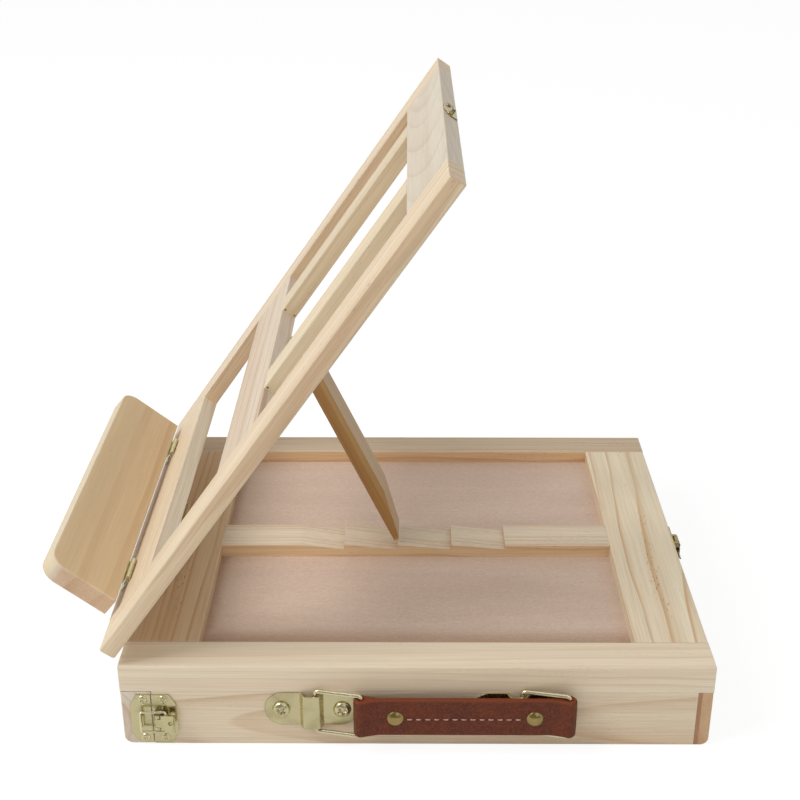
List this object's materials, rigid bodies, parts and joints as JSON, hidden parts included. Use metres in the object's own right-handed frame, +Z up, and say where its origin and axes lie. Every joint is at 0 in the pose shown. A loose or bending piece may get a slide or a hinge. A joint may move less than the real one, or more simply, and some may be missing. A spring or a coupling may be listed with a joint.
{
  "type": "tabletop sketch box easel",
  "caption": "Wooden tabletop sketch box: a drawer under a sunk top panel, a tilting easel frame held by a leg on a notched rail, a folding ledge, wire catches and a strap handle.",
  "frame": {"origin": "middle of the box's flat underside", "axes": "+X along the long side from the easel's hinge end to the end catch, +Y to the long side with no handle, +Z up"},
  "size_m": [0.4055, 0.2987, 0.3553],
  "materials": {
    "pine": "sanded, clear matt varnish",
    "plywood": "sanded, clear matt varnish",
    "brass": "thin pale brass plating, satin",
    "leather": "smooth dark red-brown leather with pale stitching"
  },
  "bodies": {
    "box": {"bottom_panel": "plywood", "side_wall_near": "pine", "side_wall_far": "pine", "end_wall": "pine", "top_rail_near": "pine", "top_rail_far": "pine", "top_end_rail_hinge": "pine", "top_end_rail_catch": "pine", "top_panel": "plywood", "ratchet_rail": "pine", "drawer_catch_bases": "brass", "end_catch_base": "brass", "catch_pins": "brass", "catch_base_screws": "brass", "easel_hinge_box_leaves": "brass", "easel_hinge_pins": "brass", "easel_hinge_box_screws": "brass", "handle_plates": "brass", "handle_screws": "brass"},
    "drawer": {"drawer_front": "pine", "drawer_side_near": "pine", "drawer_side_far": "pine", "drawer_back": "pine", "drawer_bottom": "plywood", "drawer_long_dividers": "pine", "drawer_cross_dividers": "pine", "drawer_hooks": "brass", "drawer_hook_screws": "brass"},
    "easel": {"easel_stile_near": "pine", "easel_stile_far": "pine", "easel_bottom_rail": "pine", "easel_crossbar": "pine", "easel_top_rail": "pine", "easel_slat_near": "pine", "easel_slat_far": "pine", "easel_hinge_frame_leaves": "brass", "leg_hinge_crossbar_leaf": "brass", "leg_hinge_pin": "brass", "ledge_hinge_frame_leaves": "brass", "ledge_hinge_pins": "brass", "easel_hinge_screws": "brass", "end_hook": "brass", "end_hook_screws": "brass"},
    "leg": {"support_leg": "pine", "leg_hinge_leg_leaf": "brass", "leg_hinge_screws": "brass"},
    "ledge": {"ledge": "pine", "ledge_hinge_leaves": "brass", "ledge_hinge_screws": "brass"},
    "lever_near": {"catch_lever_near": "brass"},
    "loop_near": {"catch_loop_near": "brass"},
    "lever_far": {"catch_lever_far": "brass"},
    "loop_far": {"catch_loop_far": "brass"},
    "lever_end": {"catch_lever_end": "brass"},
    "loop_end": {"catch_loop_end": "brass"},
    "ring_left": {"handle_ring_left": "brass"},
    "ring_right": {"handle_ring_right": "brass"},
    "strap": {"handle_strap": "leather", "handle_rivets": "brass"}
  },
  "joints": [
    {"name": "easel_tilt", "type": "hinge", "parent": "box", "child": "easel", "pos_m": [-0.177, 0, 0.0584], "axis": [0, -1, 0], "range_deg": [-55.2, 6.7]},
    {"name": "leg_swing", "type": "hinge", "parent": "easel", "child": "leg", "pos_m": [-0.08012, 0, 0.19937], "axis": [0, 1, 0], "range_deg": [-121.6, 14.8]},
    {"name": "ledge_fold", "type": "hinge", "parent": "easel", "child": "ledge", "pos_m": [-0.17719, 0, 0.08204], "axis": [0, 1, 0], "range_deg": [-4, 86]},
    {"name": "drawer_slide", "type": "slide", "parent": "box", "child": "drawer", "axis": [-1, 0, 0], "range_m": [0, 0.25]},
    {"name": "lever_near_turn", "type": "hinge", "parent": "box", "child": "lever_near", "pos_m": [-0.1534, -0.1434, 0.0195], "axis": [0, 0, -1], "range_deg": [0, 120]},
    {"name": "loop_near_turn", "type": "hinge", "parent": "lever_near", "child": "loop_near", "pos_m": [-0.1484, -0.1436, 0.0195], "axis": [0, 0, -1], "range_deg": [-144, 0]},
    {"name": "lever_far_turn", "type": "hinge", "parent": "box", "child": "lever_far", "pos_m": [-0.1534, 0.1434, 0.0195], "axis": [0, 0, 1], "range_deg": [0, 120]},
    {"name": "loop_far_turn", "type": "hinge", "parent": "lever_far", "child": "loop_far", "pos_m": [-0.1484, 0.1436, 0.0195], "axis": [0, 0, 1], "range_deg": [-144, 0]},
    {"name": "lever_end_turn", "type": "hinge", "parent": "box", "child": "lever_end", "pos_m": [0.1784, 0, 0.0528], "axis": [0, 1, 0], "range_deg": [-120, 0]},
    {"name": "loop_end_turn", "type": "hinge", "parent": "lever_end", "child": "loop_end", "pos_m": [0.1786, 0, 0.0478], "axis": [0, -1, 0], "range_deg": [0, 155]},
    {"name": "ring_left_swing", "type": "hinge", "parent": "box", "child": "ring_left", "pos_m": [-0.0598, -0.1424, 0.027], "axis": [0, 0, -1], "range_deg": [0, 150]},
    {"name": "ring_right_swing", "type": "hinge", "parent": "box", "child": "ring_right", "pos_m": [0.0622, -0.1424, 0.027], "axis": [0, 0, -1], "range_deg": [0, 150]},
    {"name": "strap_turn", "type": "hinge", "parent": "ring_left", "child": "strap", "pos_m": [-0.03262, -0.14719, 0.027], "axis": [0, 0, -1], "range_deg": [-150, 0]}
  ],
  "couplings": [
    {"joint": "leg_swing", "follows": "easel_tilt", "ratio": 2.2011},
    {"joint": "loop_near_turn", "follows": "lever_near_turn", "ratio": -1.2},
    {"joint": "loop_far_turn", "follows": "lever_far_turn", "ratio": -1.2},
    {"joint": "ring_right_swing", "follows": "ring_left_swing", "ratio": 1},
    {"joint": "strap_turn", "follows": "ring_left_swing", "ratio": -1}
  ]
}
